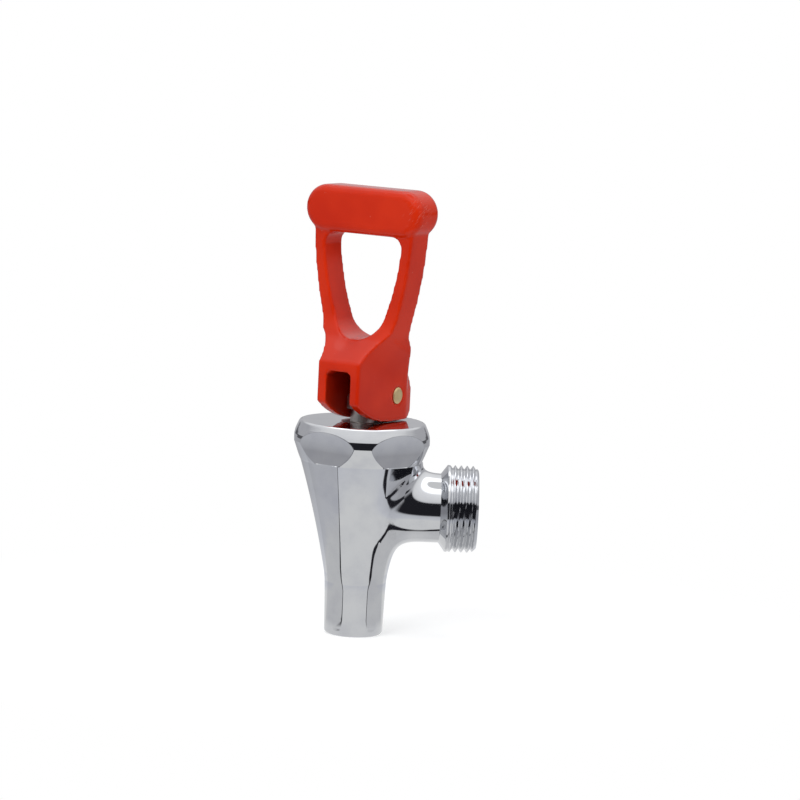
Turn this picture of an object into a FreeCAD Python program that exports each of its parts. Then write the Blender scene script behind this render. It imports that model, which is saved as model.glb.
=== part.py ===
"""Water boiler tap: cast body, hexagonal bonnet, self-closing stem and loop lever.

Millimetres, +Z up along the nozzle. The origin lies on the inlet tail's axis where its thread
begins, and the tail points along +Y into the boiler. Each piece is drawn with the nozzle's axis
as Z and the bonnet's top disc at height 0, and the lever with its front towards -Y.
"""
import FreeCAD, Part
import math
import os

import Sketcher
from FreeCAD import Placement, Rotation, Vector

os.makedirs("parts", exist_ok=True)
doc = FreeCAD.newDocument("boiler_tap")

DRIVING_SIZES = {
    # where the tap sits
    "axis_to_end_face": 36.0, "inlet_axis_depth": 25.7, "handle_swing": 55.0,
    "running_gap": 0.1, "rest_gap": 0.3, "cutter_margin": 1.0,
    # inlet tail
    "inlet_thread_diameter": 26.44, "thread_length": 9.4, "thread_chamfer": 1.3,
    "neck_diameter": 21.0, "neck_bevel": 2.0, "neck_fillet": 6.0, "facet_standoff": 3.3,
    "inlet_bore": 14.0,
    # body
    "shoulder_diameter": 36.8, "waist_diameter": 19.4, "flank_hollow": 0.55,
    "nozzle_root_diameter": 18.8, "nozzle_end_diameter": 17.7, "nozzle_end_chamfer": 1.1,
    "waist_depth": 46.4, "nozzle_root_depth": 49.0, "body_depth": 65.3, "nozzle_bore": 12.0,
    "facet_angle_shoulder": 15.0, "facet_angle_waist": 11.0, "facet_angle_nozzle": 15.0,
    "nozzle_facet_run": 1.5,
    "cavity_diameter": 26.0, "cavity_wall_depth": 22.0, "cavity_floor_diameter": 17.4,
    "cavity_floor_depth": 38.6, "seat_rim_height": 1.6, "seat_rim_width": 1.5,
    "spigot_diameter": 31.0, "gasket_thickness": 1.2,
    # bonnet
    "bonnet_diameter": 41.6, "bonnet_height": 12.6, "bonnet_disc_diameter": 37.2,
    "bonnet_crown": 4.0, "bonnet_crown_bulge": 0.25, "bonnet_foot_diameter": 37.4,
    "bonnet_foot_chamfer": 2.9, "bonnet_roof": 4.0, "bonnet_flat_top": 39.5,
    "bonnet_flat_foot": 36.1, "bush_seat_diameter": 13.0,
    # stem, bush and spring
    "stem_diameter": 7.2, "bush_collar_diameter": 7.8, "bush_collar_height": 2.4,
    "bush_collar_taper": 0.35, "bush_flange_diameter": 18.0, "bush_flange_thickness": 1.4,
    "seal_section": 1.6, "bush_groove_depth": 1.28, "stem_groove_depth": 0.64,
    "washer_thickness": 1.0, "spring_diameter": 14.0, "spring_wire": 1.3,
    "spring_turns": 5.0, "cup_clearance": 3.0, "collar_thickness": 1.5, "collar_diameter": 17.0,
    "clip_thickness": 0.9, "clip_groove": 0.6, "clip_diameter": 10.5,
    # valve
    "cup_diameter": 15.6, "cup_height": 4.6, "cup_lip": 1.2, "seat_washer_thickness": 1.0,
    "screw_head_diameter": 7.0, "screw_crown_diameter": 5.6, "screw_head_height": 1.8,
    "screw_diameter": 3.4,
    "screw_length": 8.0,
    # lever
    "pin_diameter": 5.0, "pin_height": 8.0, "pin_setback": 7.4, "pin_standout": 0.35,
    "pin_edge_drop": 0.35, "pin_edge_bend": 0.1, "pin_edge_width": 0.5, "eye_wall": 1.7,
    "eye_thickness": 7.0, "clevis_width": 15.0, "clevis_front": 14.3, "clevis_rear": 16.0,
    "clevis_front_top": 18.8, "clevis_rear_foot": 2.2,
    "clevis_rear_top": 10.0, "rear_taper_start": 12.2, "rear_taper_depth": 0.9,
    "slot_width": 8.4, "slot_height": 16.0, "slot_corner": 1.4, "slot_rear": 12.6,
    "slot_roof_rear": 8.6, "slot_rear_height": 9.75,
    "cam_radius": 30.0, "cam_setback": 4.0,
    "neck_front": 7.1, "neck_front_height": 26.0, "arm_front": 4.5, "arm_rear": 4.8,
    "front_hollow": 0.35, "front_hollow_drop": 0.2, "arm_foot_height": 32.0,
    "rear_bend_height": 27.0, "rear_bend_depth": 0.8, "rear_slope_height": 22.5,
    "rear_slope_depth": 3.2,
    "waist_half_width": 11.8, "waist_height": 26.0, "arm_mid_half_width": 15.4,
    "arm_mid_height": 39.5, "arm_top_half_width": 18.0,
    "loop_floor": 25.4, "loop_floor_radius": 9.0, "loop_floor_angle": 65.0,
    "loop_half_width": 13.8, "loop_bow": 0.9, "loop_corner": 3.6,
    "flare_radius": 22.0, "flare_height": 11.4, "flare_slope": 24.5,
    "bar_length": 42.0, "bar_foot": 57.0, "bar_height": 14.2, "bar_front": 6.2,
    "bar_rear": 6.0, "bar_edge_radius": 2.6,
}

sheet = doc.addObject("Spreadsheet::Sheet", "Sizes")
for row, (alias, number) in enumerate(DRIVING_SIZES.items(), start=1):
    sheet.set(f"A{row}", alias)
    sheet.set(f"B{row}", str(number))
    sheet.setAlias(f"B{row}", alias)
doc.recompute()


class Size:
    """A length or angle that knows both its number and its spreadsheet expression."""

    def __init__(self, number, text):
        self.number, self.text = number, text

    @staticmethod
    def of(value):
        return value if isinstance(value, Size) else Size(float(value), repr(float(value)))

    def joined(self, sign, other, number):
        return Size(number, f"({self.text} {sign} {Size.of(other).text})")

    def __add__(self, other):
        return self.joined("+", other, self.number + Size.of(other).number)

    def __sub__(self, other):
        return self.joined("-", other, self.number - Size.of(other).number)

    def __mul__(self, other):
        return self.joined("*", other, self.number * Size.of(other).number)

    def __truediv__(self, other):
        return self.joined("/", other, self.number / Size.of(other).number)

    def __neg__(self):
        return Size(-self.number, f"(0 - {self.text})")


def size(alias):
    return Size(float(sheet.get(alias)), f"Sizes.{alias}")


def half(alias):
    return size(alias) / 2


def cosine(alias):
    return Size(math.cos(math.radians(size(alias).number)), f"cos(Sizes.{alias} * 1 deg)")


def sine(alias):
    return Size(math.sin(math.radians(size(alias).number)), f"sin(Sizes.{alias} * 1 deg)")


def root(value):
    return Size(math.sqrt(value.number), f"sqrt({value.text})")


def bind(item, **properties):
    """Bind properties of a document object to spreadsheet expressions."""
    for name, value in properties.items():
        item.setExpression(name.replace("_at_", "."), Size.of(value).text)
    return item


PLANES = {
    "XZ": Rotation(Vector(1, 0, 0), 90),
    "YZ": Rotation(Vector(1, 1, 1), 120),
    "XY": Rotation(),
}


def outline(name, plane, corners):
    """A closed sketch: each corner is (x, y), and (x, y, "via") bends an arc through it."""
    sketch = doc.addObject("Sketcher::SketchObject", name)
    sketch.Placement = Placement(Vector(), PLANES[plane])
    points = [Vector(Size.of(c[0]).number, Size.of(c[1]).number, 0) for c in corners]
    ends = [i for i, corner in enumerate(corners) if len(corner) == 2]
    joints, pinned = [], []
    for here, there in zip(ends, ends[1:] + ends[:1]):
        bend = (here + 1) % len(corners)
        start, finish = points[here], points[there]
        if bend == there:
            edge = sketch.addGeometry(Part.LineSegment(start, finish), False)
        else:
            edge = sketch.addGeometry(Part.Arc(start, points[bend], finish), False)
            mark = sketch.addGeometry(Part.Point(points[bend]), True)
            sketch.addConstraint(Sketcher.Constraint("PointOnObject", mark, 1, edge))
            pinned.append((mark, 1, corners[bend]))
        near = sketch.getPoint(edge, 1).distanceToPoint(start)
        first = 1 if near < sketch.getPoint(edge, 2).distanceToPoint(start) else 2
        joints.append((edge, first, 3 - first))
        pinned.append((edge, first, corners[here]))
    for (edge, _, last), (following, first, _) in zip(joints, joints[1:] + joints[:1]):
        sketch.addConstraint(Sketcher.Constraint("Coincident", edge, last, following, first))
    for edge, place, corner in pinned:
        for kind, value in zip(("DistanceX", "DistanceY"), corner):
            value = Size.of(value)
            rule = sketch.addConstraint(
                Sketcher.Constraint(kind, -1, 1, edge, place, value.number))
            if "Sizes" in value.text:
                sketch.setExpression(f"Constraints[{rule}]", value.text)
    return sketch


def turned(name, plane, corners, axis=Vector(0, 0, 1)):
    """A solid of revolution of a sketched half-section."""
    body = doc.addObject("Part::Revolution", name)
    body.Source = outline(name + "_outline", plane, corners)
    body.Axis = axis
    body.Angle = 360
    body.Solid = True
    return body


def extruded(name, plane, corners, length, centred=True, along=None):
    """A sketched face drawn out by a length, to both sides when centred."""
    body = doc.addObject("Part::Extrusion", name)
    body.Base = outline(name + "_outline", plane, corners)
    body.DirMode = "Custom"
    body.Dir = along or PLANES[plane].multVec(Vector(0, 0, 1))
    body.Solid = True
    body.Symmetric = centred
    bind(body, LengthFwd=length)
    return body


def cylinder(name, radius, height, base=(0, 0, 0), turn=None):
    body = doc.addObject("Part::Cylinder", name)
    bind(body, Radius=radius, Height=height)
    if turn:
        body.Placement = Placement(Vector(), turn)
    bind(body, Placement_at_Base_at_x=base[0], Placement_at_Base_at_y=base[1],
         Placement_at_Base_at_z=base[2])
    return body


def cut(name, base, tool):
    body = doc.addObject("Part::Cut", name)
    body.Base, body.Tool = base, tool
    return body


def fused(name, *pieces):
    body = doc.addObject("Part::MultiFuse", name)
    body.Shapes = list(pieces)
    return body


def common(name, *pieces):
    body = doc.addObject("Part::MultiCommon", name)
    body.Shapes = list(pieces)
    return body


def rounded(name, base, alias, chosen):
    """Fillet the edges of a piece that the test picks, at the named radius."""
    doc.recompute()
    radius = size(alias).number
    body = doc.addObject("Part::Fillet", name)
    body.Base = base
    body.Edges = [(number, radius, radius) for number, edge in enumerate(base.Shape.Edges, 1)
                  if chosen(edge)]
    return body


def around(name, base, copies=6):
    """Polar copies of a cutter about the tap's axis, fused into one tool."""
    turns = []
    for step in range(copies):
        link = doc.addObject("Part::Compound", f"{name}_{step}")
        link.Links = [base]
        link.Placement = Placement(Vector(), Rotation(Vector(0, 0, 1), 360 * step / copies))
        turns.append(link)
    return fused(name, *turns)


PARTS = {}


def finish(node, body, swung=False):
    """Label a sub-part, place its local frame on the tap's axis and keep it for export."""
    body.Label = node
    turn = size("handle_swing") if swung else Size.of(0)
    body.Placement = Placement(Vector(), Rotation(Vector(0, 0, 1), turn.number))
    bind(body, Placement_at_Base_at_y=size("thread_length") - size("axis_to_end_face"),
         Placement_at_Base_at_z=size("inlet_axis_depth"))
    if swung:
        body.setExpression("Placement.Rotation.Angle", f"{turn.text} * 1 deg")
    PARTS[node] = body


# Cutters run past what they cut by this much.
margin = size("cutter_margin")

# Tap body: a brass casting with a tapering six-sided flank, a nozzle and a threaded tail.
gasket_top = size("bonnet_roof")
spigot_top = gasket_top + size("gasket_thickness")
flank_middle = (size("bonnet_height") + size("waist_depth")) / 2
flank_bow = (half("shoulder_diameter") + half("waist_diameter")) / 2 - size("flank_hollow")
flank = turned("flank", "XZ", [
    (0, -spigot_top),
    (half("shoulder_diameter"), -spigot_top),
    (half("shoulder_diameter"), -size("bonnet_height")),
    (flank_bow, -flank_middle, "via"),
    (half("waist_diameter"), -size("waist_depth")),
    (half("nozzle_root_diameter"), -size("nozzle_root_depth")),
    (half("nozzle_end_diameter"), -(size("body_depth") - size("nozzle_end_chamfer"))),
    (half("nozzle_end_diameter") - size("nozzle_end_chamfer"), -size("body_depth")),
    (0, -size("body_depth")),
])

facet_reach = half("bonnet_diameter") + margin


def facet(alias, diameter):
    return half(diameter) * cosine(alias)


facet_cutter = extruded("facet_cutter", "XZ", [
    (facet("facet_angle_shoulder", "shoulder_diameter"), -size("bonnet_height")),
    (flank_bow * cosine("facet_angle_waist"), -flank_middle),
    (facet("facet_angle_waist", "waist_diameter"), -size("waist_depth")),
    (facet("facet_angle_nozzle", "nozzle_root_diameter"),
     -(size("nozzle_root_depth") + size("nozzle_facet_run"))),
    (facet("facet_angle_nozzle", "nozzle_end_diameter"), -size("body_depth")),
    (facet_reach, -size("body_depth")),
    (facet_reach, -size("bonnet_height")),
], size("bonnet_diameter"))
facets = around("facets", facet_cutter)
facets.Placement = Placement(Vector(), Rotation(Vector(0, 0, 1), 30))

along_tail = Rotation(Vector(1, 0, 0), -90)
tail_keep = cylinder("tail_keep", half("neck_diameter") + size("facet_standoff"),
                     size("axis_to_end_face"), (0, 0, -size("inlet_axis_depth")), along_tail)
facet_tool = cut("facet_tool", facets, tail_keep)
neck_root = cylinder("neck_root", half("neck_diameter"),
                     size("axis_to_end_face") - size("thread_length"),
                     (0, 0, -size("inlet_axis_depth")), along_tail)
flank_with_neck = fused("flank_with_neck", flank, neck_root)


level_edge = 0.01


def at_neck_root(edge):
    """Picks the curve where the neck runs into the flank, and not the neck's round end."""
    box = edge.BoundBox
    neck, drop = size("neck_diameter").number, size("inlet_axis_depth").number
    level = (box.ZMin + box.ZMax) / 2 + drop
    beside_axis = box.YMin > margin.number and box.XLength > margin.number
    return (box.YLength > level_edge and beside_axis and box.ZLength > neck / 4
            and abs(level) < neck / 2)


smooth_flank = rounded("smooth_flank", flank_with_neck, "neck_fillet", at_neck_root)
faceted_flank = cut("faceted_flank", smooth_flank, facet_tool)

thread_start = size("axis_to_end_face") - size("thread_length")
tail = turned("tail", "YZ", [
    (thread_start - size("neck_bevel"), 0),
    (thread_start - size("neck_bevel"), half("neck_diameter")),
    (thread_start, half("inlet_thread_diameter")),
    (size("axis_to_end_face") - size("thread_chamfer"), half("inlet_thread_diameter")),
    (size("axis_to_end_face"), half("inlet_thread_diameter") - size("thread_chamfer")),
    (size("axis_to_end_face"), 0),
], Vector(0, 1, 0))
bind(tail, Placement_at_Base_at_z=-size("inlet_axis_depth"))
casting = fused("casting", faceted_flank, tail)

above_shoulder = turned("above_shoulder", "XZ", [
    (half("spigot_diameter"), -size("bonnet_height")),
    (half("bonnet_diameter") + size("axis_to_end_face"), -size("bonnet_height")),
    (half("bonnet_diameter") + size("axis_to_end_face"), margin),
    (half("spigot_diameter"), margin),
])
seat_bore = half("nozzle_bore")
seat_top = size("cavity_floor_depth") - size("seat_rim_height")
cavity = turned("cavity", "XZ", [
    (0, margin - spigot_top),
    (half("cavity_diameter"), margin - spigot_top),
    (half("cavity_diameter"), -size("cavity_wall_depth")),
    (half("cavity_floor_diameter"), -size("cavity_floor_depth")),
    (seat_bore + size("seat_rim_width"), -size("cavity_floor_depth")),
    (seat_bore + size("seat_rim_width") / 2, -seat_top),
    (seat_bore, -seat_top),
    (seat_bore, -(size("body_depth") + margin)),
    (0, -(size("body_depth") + margin)),
])
inlet_way = cylinder("inlet_way", half("inlet_bore"),
                     size("axis_to_end_face") + margin,
                     (0, 0, -size("inlet_axis_depth")), along_tail)
passages = fused("passages", above_shoulder, cavity, inlet_way)
finish("tap_body", cut("tap_body", casting, passages))

# Bonnet: a turned cap nut with a flat polished disc, rounded edge, tapering flats and a foot.
bonnet_blank = turned("bonnet_blank", "XZ", [
    (half("bush_seat_diameter"), 0),
    (half("bonnet_disc_diameter"), 0),
    ((half("bonnet_disc_diameter") + half("bonnet_diameter")) / 2 + size("bonnet_crown_bulge"),
     -(size("bonnet_crown") / 2 - size("bonnet_crown_bulge") / 2), "via"),
    (half("bonnet_diameter"), -size("bonnet_crown")),
    (half("bonnet_diameter"), -(size("bonnet_height") - size("bonnet_foot_chamfer"))),
    (half("bonnet_foot_diameter"), -size("bonnet_height")),
    (half("spigot_diameter"), -size("bonnet_height")),
    (half("spigot_diameter"), -size("bonnet_roof")),
    (half("bush_seat_diameter"), -size("bonnet_roof")),
])
flat_slope = (half("bonnet_flat_top") - half("bonnet_flat_foot")) / size("bonnet_height")
flat_reach = half("bonnet_diameter") + margin
bonnet_cutter = extruded("bonnet_cutter", "XZ", [
    (half("bonnet_flat_top") + margin * flat_slope, margin),
    (half("bonnet_flat_foot") - margin * flat_slope, -(size("bonnet_height") + margin)),
    (flat_reach, -(size("bonnet_height") + margin)),
    (flat_reach, margin),
], size("bonnet_diameter"))
bonnet_flats = around("bonnet_flats", bonnet_cutter)
bonnet_flats.Placement = Placement(Vector(), Rotation(Vector(0, 0, 1), 30))
finish("bonnet", cut("bonnet", bonnet_blank, bonnet_flats))

# Bonnet gasket: a flat ring squeezed between the spigot and the bonnet's roof.
finish("bonnet_gasket", turned("bonnet_gasket", "XZ", [
    (half("cavity_diameter"), -gasket_top),
    (half("spigot_diameter"), -gasket_top),
    (half("spigot_diameter"), -spigot_top),
    (half("cavity_diameter"), -spigot_top),
]))

# Guide bush: turned in steel, with a tapered collar above the disc and a flange below it.
stem_bore = half("stem_diameter") + size("running_gap") / 2
bush_radius = half("bush_seat_diameter") - size("running_gap") / 2
flange_top = size("bonnet_roof") + size("running_gap")
flange_foot = flange_top + size("bush_flange_thickness")
groove_half = size("seal_section") / 2
groove_depth = size("bonnet_roof") / 2
groove_floor = bush_radius - size("bush_groove_depth")
stem_groove_floor = stem_bore + size("stem_groove_depth")
bush_blank = turned("bush_blank", "XZ", [
    (stem_bore, size("bush_collar_height")),
    (half("bush_collar_diameter") - size("bush_collar_taper") / 2, size("bush_collar_height")),
    (half("bush_collar_diameter"), 0),
    (bush_radius, 0),
    (bush_radius, -(groove_depth - groove_half)),
    (groove_floor, -(groove_depth - groove_half)),
    (groove_floor, -(groove_depth + groove_half)),
    (bush_radius, -(groove_depth + groove_half)),
    (bush_radius, -flange_top),
    (half("bush_flange_diameter"), -flange_top),
    (half("bush_flange_diameter"), -flange_foot),
    (stem_bore, -flange_foot),
])
stem_groove = turned("stem_groove", "XZ", [
    (stem_bore - size("running_gap"), -(groove_depth - groove_half)),
    (stem_groove_floor, -(groove_depth - groove_half)),
    (stem_groove_floor, -(groove_depth + groove_half)),
    (stem_bore - size("running_gap"), -(groove_depth + groove_half)),
])
finish("guide_bush", cut("guide_bush", bush_blank, stem_groove), swung=True)


def seal_ring(node, inner, outer):
    """A rubber ring of squeezed section, filling its groove from inner to outer radius."""
    middle = (inner + outer) / 2
    finish(node, turned(node, "XZ", [
        (middle, -(groove_depth - groove_half)),
        (outer, -groove_depth, "via"),
        (middle, -(groove_depth + groove_half)),
        (inner, -groove_depth, "via"),
    ]), swung=True)


seal_ring("bush_seal", groove_floor, half("bush_seat_diameter") - size("running_gap") / 4)
seal_ring("stem_seal", half("stem_diameter") + size("running_gap") / 4, stem_groove_floor)


def washer(node, inner, outer, top, thickness):
    finish(node, turned(node, "XZ", [
        (inner, -top), (outer, -top), (outer, -(top + thickness)), (inner, -(top + thickness)),
    ]), swung=True)


# Spring washer, return spring, collar and clip: the group that pulls the tap shut.
cup_top = seat_top - size("cup_height")
clip_foot = cup_top - size("cup_clearance")
clip_top = clip_foot - size("clip_thickness")
collar_top = clip_top - size("collar_thickness")
washer_foot = flange_foot + size("washer_thickness")
washer("spring_washer", stem_bore + size("running_gap"), half("collar_diameter"),
       flange_foot, size("washer_thickness"))
washer("spring_collar", half("stem_diameter") + size("running_gap") / 2,
       half("collar_diameter"), collar_top, size("collar_thickness"))
washer("collar_clip", half("stem_diameter") - size("clip_groove"), half("clip_diameter"),
       clip_top, size("clip_thickness"))

spring_length = collar_top - washer_foot
wire = size("spring_wire").number
coil_radius = size("spring_diameter").number / 2 - wire / 2
climb = spring_length.number - wire
helix = Part.makeHelix(climb / size("spring_turns").number, climb, coil_radius)
section = Part.Wire(Part.makeCircle(wire / 2, Vector(coil_radius, 0, 0), Vector(0, 1, 0)))
coil = Part.Wire(helix).makePipeShell([section], True, True)
coil.translate(Vector(0, 0, -(collar_top.number - wire / 2)))
return_spring = doc.addObject("Part::Feature", "return_spring")
return_spring.Shape = Part.Compound([coil])
finish("return_spring", return_spring, swung=True)

# Stem: a steel rod with an offset eye that reaches back to the hinge pin.
shank_foot = cup_top + size("cup_lip")
eye_radius = half("pin_diameter") + size("eye_wall")
rod = turned("rod", "XZ", [
    (0, size("pin_height")),
    (half("stem_diameter"), size("pin_height")),
    (half("stem_diameter"), -clip_top),
    (half("stem_diameter") - size("clip_groove"), -clip_top),
    (half("stem_diameter") - size("clip_groove"), -clip_foot),
    (half("stem_diameter"), -clip_foot),
    (half("stem_diameter"), -shank_foot),
    (0, -shank_foot),
])
arm_foot = size("pin_height") - eye_radius
stem_arm = extruded("stem_arm", "YZ", [
    (-half("stem_diameter"), arm_foot),
    (size("pin_setback"), arm_foot),
    (size("pin_setback") + eye_radius, size("pin_height"), "via"),
    (size("pin_setback"), size("pin_height") + eye_radius),
    (-half("stem_diameter"), size("pin_height")),
], size("eye_thickness"))
stem_blank = fused("stem_blank", rod, stem_arm)
across = Rotation(Vector(0, 1, 0), 90)
eye_bore = cylinder("eye_bore", half("pin_diameter") + size("running_gap") / 2,
                    size("clevis_width"),
                    (-half("clevis_width"), size("pin_setback"), size("pin_height")), across)
screw_bore = cylinder("screw_bore", half("screw_diameter"), size("screw_length"),
                      (0, 0, -shank_foot))
stem_bored = fused("stem_bored", eye_bore, screw_bore)
finish("stem", cut("stem", stem_blank, stem_bored), swung=True)

# Valve: a silicone cup on the stem's foot, its backing washer and the screw that holds them.
finish("seat_cup", turned("seat_cup", "XZ", [
    (half("screw_diameter"), -shank_foot),
    (half("stem_diameter"), -shank_foot),
    (half("stem_diameter"), -cup_top),
    (half("cup_diameter") - size("cup_lip"), -cup_top),
    (half("cup_diameter"), -(cup_top + size("cup_lip"))),
    (half("cup_diameter"), -seat_top),
    (half("screw_diameter"), -seat_top),
]), swung=True)
washer("seat_washer", half("screw_diameter"), seat_bore - size("seat_rim_width"), seat_top,
       size("seat_washer_thickness"))
head_top = seat_top + size("seat_washer_thickness")
finish("seat_screw", turned("seat_screw", "XZ", [
    (0, -(shank_foot - size("screw_length"))),
    (half("screw_diameter"), -(shank_foot - size("screw_length"))),
    (half("screw_diameter"), -head_top),
    (half("screw_head_diameter"), -head_top),
    (half("screw_crown_diameter"), -(head_top + size("screw_head_height"))),
    (0, -(head_top + size("screw_head_height"))),
]), swung=True)

# Hinge pin: brass, pressed into the cheeks, with slightly domed ends.
pin_reach = half("clevis_width") + size("pin_standout")
pin_edge = pin_reach - size("pin_edge_drop")
pin_bend = pin_reach - size("pin_edge_bend")
pin_shoulder = half("pin_diameter") - size("pin_edge_width")
pin_turned = turned("pin_turned", "XZ", [
    (0, -pin_reach),
    (half("pin_diameter") / 2, -pin_reach),
    (pin_shoulder, -pin_bend, "via"),
    (half("pin_diameter"), -pin_edge),
    (half("pin_diameter"), pin_edge),
    (pin_shoulder, pin_bend, "via"),
    (half("pin_diameter") / 2, pin_reach),
    (0, pin_reach),
])
pin_turned.Placement = Placement(Vector(), across)
bind(pin_turned, Placement_at_Base_at_y=size("pin_setback"),
     Placement_at_Base_at_z=size("pin_height"))
hinge_pin = doc.addObject("Part::Compound", "hinge_pin")
hinge_pin.Links = [pin_turned]
finish("hinge_pin", hinge_pin, swung=True)

# Handle: one moulding, cut from a front view, a side view and a plan, then hollowed.
rest = size("rest_gap")
arm_stop = size("bar_foot") + size("bar_height") / 2
front_half = [
    (size("waist_half_width"), rest),
    (size("waist_half_width"), size("waist_height")),
    (size("arm_mid_half_width"), size("arm_mid_height"), "via"),
    (size("arm_top_half_width"), arm_stop),
]


def mirrored(corners):
    return [(-corner[0],) + tuple(corner[1:]) for corner in reversed(corners)]


overall_depth = size("clevis_front") + size("clevis_rear")
front_view = extruded("front_view", "XZ", front_half + mirrored(front_half),
                      overall_depth * 2)
cam_run = size("clevis_front") + size("cam_setback")


def cam_height(run):
    """Height of the cam's arc above its lowest point, this far along it."""
    radius = size("cam_radius")
    return rest + radius - root(radius * radius - run * run)


side_view = extruded("side_view", "YZ", [
    (size("cam_setback"), rest),
    (size("cam_setback") - cam_run / 2, cam_height(cam_run / 2), "via"),
    (-size("clevis_front"), cam_height(cam_run)),
    (-size("clevis_front"), size("clevis_front_top")),
    (-size("neck_front"), size("neck_front_height")),
    (size("front_hollow") - (size("neck_front") + size("arm_front")) / 2,
     (size("neck_front_height") + size("arm_foot_height")) / 2 - size("front_hollow_drop"), "via"),
    (-size("arm_front"), size("arm_foot_height")),
    (-size("arm_front"), arm_stop),
    (size("arm_rear"), arm_stop),
    (size("arm_rear"), size("arm_foot_height")),
    (size("arm_rear") + size("rear_bend_depth"), size("rear_bend_height"), "via"),
    (size("arm_rear") + size("rear_slope_depth"), size("rear_slope_height")),
    (size("clevis_rear"), size("clevis_rear_top")),
    (size("clevis_rear"), size("clevis_rear_foot")),
    (size("clevis_rear") - size("clevis_rear_foot"), rest),
], size("bar_length") * 2)
floor_radius = size("loop_floor_radius")
floor_side = floor_radius * sine("loop_floor_angle")
floor_rise = size("loop_floor") + floor_radius - floor_radius * cosine("loop_floor_angle")
floor_half = floor_radius * root((Size.of(1) - cosine("loop_floor_angle")) / 2)
floor_half_rise = size("loop_floor") + floor_radius - floor_radius * root(
    (cosine("loop_floor_angle") + 1) / 2)
arc_share = Size(1 - math.sqrt(0.5), "(1 - sqrt(0.5))")
corner_foot = size("bar_foot") - size("loop_corner")
loop_half = [
    (floor_half, floor_half_rise, "via"),
    (floor_side, floor_rise),
    ((floor_side + size("loop_half_width")) / 2 + size("loop_bow"),
     (floor_rise + corner_foot) / 2, "via"),
    (size("loop_half_width"), corner_foot),
    (size("loop_half_width") - size("loop_corner") * arc_share,
     size("bar_foot") - size("loop_corner") * arc_share, "via"),
    (size("loop_half_width") - size("loop_corner"), size("bar_foot")),
]
loop = extruded("loop", "XZ", [(0, size("loop_floor"))] + loop_half + mirrored(loop_half),
                overall_depth * 2)
flare_x = half("clevis_width")
bend = math.radians(22.5)
flare_half = [
    (flare_x, -overall_depth),
    (flare_x, size("flare_height")),
    (flare_x + size("flare_radius") * (1 - math.cos(bend)),
     size("flare_height") + size("flare_radius") * math.sin(bend), "via"),
    (flare_x + size("flare_radius") * arc_share,
     size("flare_height") + size("flare_radius") * (Size.of(1) - arc_share)),
    (flare_x + size("flare_radius"), size("flare_height") + size("flare_radius")),
    (flare_x + size("flare_radius"), -overall_depth),
]
slope = math.radians(size("flare_slope").number)
slant = Vector(0, -math.cos(slope), math.sin(slope))
flare_right = extruded("flare_right", "XZ", flare_half, overall_depth * 2, along=slant)
flare_left = extruded("flare_left", "XZ", mirrored(flare_half), overall_depth * 2, along=slant)
taper_end = flare_x - size("rear_taper_depth")
plan_half = [
    (size("bar_length"), -overall_depth),
    (size("bar_length"), size("arm_rear")),
    (size("waist_half_width") + margin, size("arm_rear") + margin),
    (flare_x, size("rear_taper_start")),
    (taper_end, size("clevis_rear")),
    (taper_end, size("clevis_rear") + margin),
]
plan_view = extruded("plan_view", "XY", plan_half + mirrored(plan_half),
                     size("body_depth") * 4)
lever_blank = common("lever_blank", front_view, side_view, plan_view)
lever_cutters = fused("lever_cutters", flare_right, flare_left)
lever_waisted = cut("lever_waisted", lever_blank, lever_cutters)
lever_open = cut("lever_open", lever_waisted, loop)

bar_radius = size("bar_height") / 2
bar_middle = size("bar_foot") + bar_radius
bar_straight = half("bar_length") - bar_radius
bar_blank = extruded("bar_blank", "XZ", [
    (-bar_straight, size("bar_foot")),
    (bar_straight, size("bar_foot")),
    (half("bar_length"), bar_middle, "via"),
    (bar_straight, size("bar_foot") + size("bar_height")),
    (-bar_straight, size("bar_foot") + size("bar_height")),
    (-half("bar_length"), bar_middle, "via"),
], size("bar_front") + size("bar_rear"))
bind(bar_blank, Placement_at_Base_at_y=(size("bar_rear") - size("bar_front")) / 2)
grip_bar = rounded("grip_bar", bar_blank, "bar_edge_radius",
                   lambda edge: edge.BoundBox.YLength < level_edge)
handle_blank = fused("handle_blank", lever_open, grip_bar)

slot_side = half("slot_width")
slot_edge = size("slot_corner")
slot_front_view = extruded("slot_front_view", "XZ", [
    (-slot_side, -margin),
    (slot_side, -margin),
    (slot_side, size("slot_height") - slot_edge),
    (slot_side - slot_edge * arc_share, size("slot_height") - slot_edge * arc_share, "via"),
    (slot_side - slot_edge, size("slot_height")),
    (slot_edge - slot_side, size("slot_height")),
    (slot_edge * arc_share - slot_side, size("slot_height") - slot_edge * arc_share, "via"),
    (-slot_side, size("slot_height") - slot_edge),
], overall_depth * 2)
slot_side_view = extruded("slot_side_view", "YZ", [
    (-overall_depth, -margin),
    (size("slot_rear"), -margin),
    (size("slot_rear"), size("slot_rear_height")),
    (size("slot_roof_rear"), size("slot_height")),
    (-overall_depth, size("slot_height")),
], size("clevis_width"))
slot = common("slot", slot_front_view, slot_side_view)
pin_bore = cylinder("pin_bore", half("pin_diameter"), size("clevis_width") * 2,
                    (-size("clevis_width"), size("pin_setback"), size("pin_height")), across)
handle_voids = fused("handle_voids", slot, pin_bore)
finish("handle", cut("handle", handle_blank, handle_voids), swung=True)

doc.recompute()
for item in doc.Objects:
    if "Invalid" in item.State or "Error" in item.State:
        raise RuntimeError(f"{item.Name} did not compute: {item.State}")
for node, body in PARTS.items():
    shape = body.Shape
    if shape.isNull() or not shape.isValid() or not shape.Solids:
        raise RuntimeError(f"{node} has no sound shape")
    print(node, len(shape.Solids), "solid", round(shape.Volume, 1), "mm3")
for node, body in PARTS.items():
    body.Shape.exportStep(f"parts/{node}.step")
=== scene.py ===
import math
import bpy
import numpy as np
from mathutils import Matrix, Vector


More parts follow.
